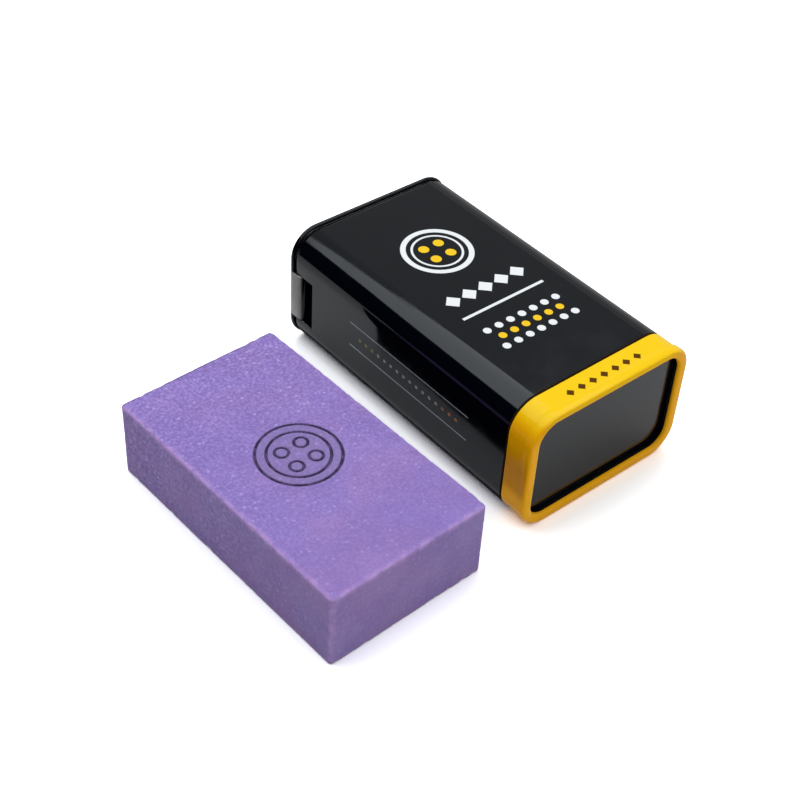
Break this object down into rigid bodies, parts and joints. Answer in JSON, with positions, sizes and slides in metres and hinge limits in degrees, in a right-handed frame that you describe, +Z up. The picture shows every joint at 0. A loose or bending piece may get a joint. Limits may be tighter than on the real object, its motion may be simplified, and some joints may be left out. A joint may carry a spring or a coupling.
{
  "type": "suede eraser",
  "caption": "Rubber-bonded suede cleaning block with its slim rolled-sheet storage tin, which has a plug lid hinged at one narrow side.",
  "frame": {"origin": "on the floor, at the middle of the set's footprint", "axes": "+X from the block to the tin, +Y along the tin from its base to its lid, +Z up"},
  "size_m": [0.112, 0.0932, 0.0337],
  "materials": {
    "sleeve_enamel": "gloss black print with a yellow band at the base end",
    "base_enamel": "gloss black",
    "lid_enamel": "gloss black",
    "wire_steel": "bright drawn wire",
    "eraser_rubber": "matt purple with fine glittering grit"
  },
  "bodies": {
    "tin": {"tin_body": "sleeve_enamel", "base_plate": "base_enamel", "hinge_wire": "wire_steel"},
    "lid": {"lid": "lid_enamel"},
    "block": {"eraser_block": "eraser_rubber"}
  },
  "joints": [
    {"name": "lid_hinge", "type": "hinge", "parent": "tin", "child": "lid", "pos_m": [0.00651, 0.04399, 0.0156], "axis": [0, 0, 1], "range_deg": [0, 95]},
    {"name": "block_lift", "type": "slide", "parent": "tin", "child": "block", "axis": [0, 0, 1], "range_m": [0, 0.05]}
  ]
}
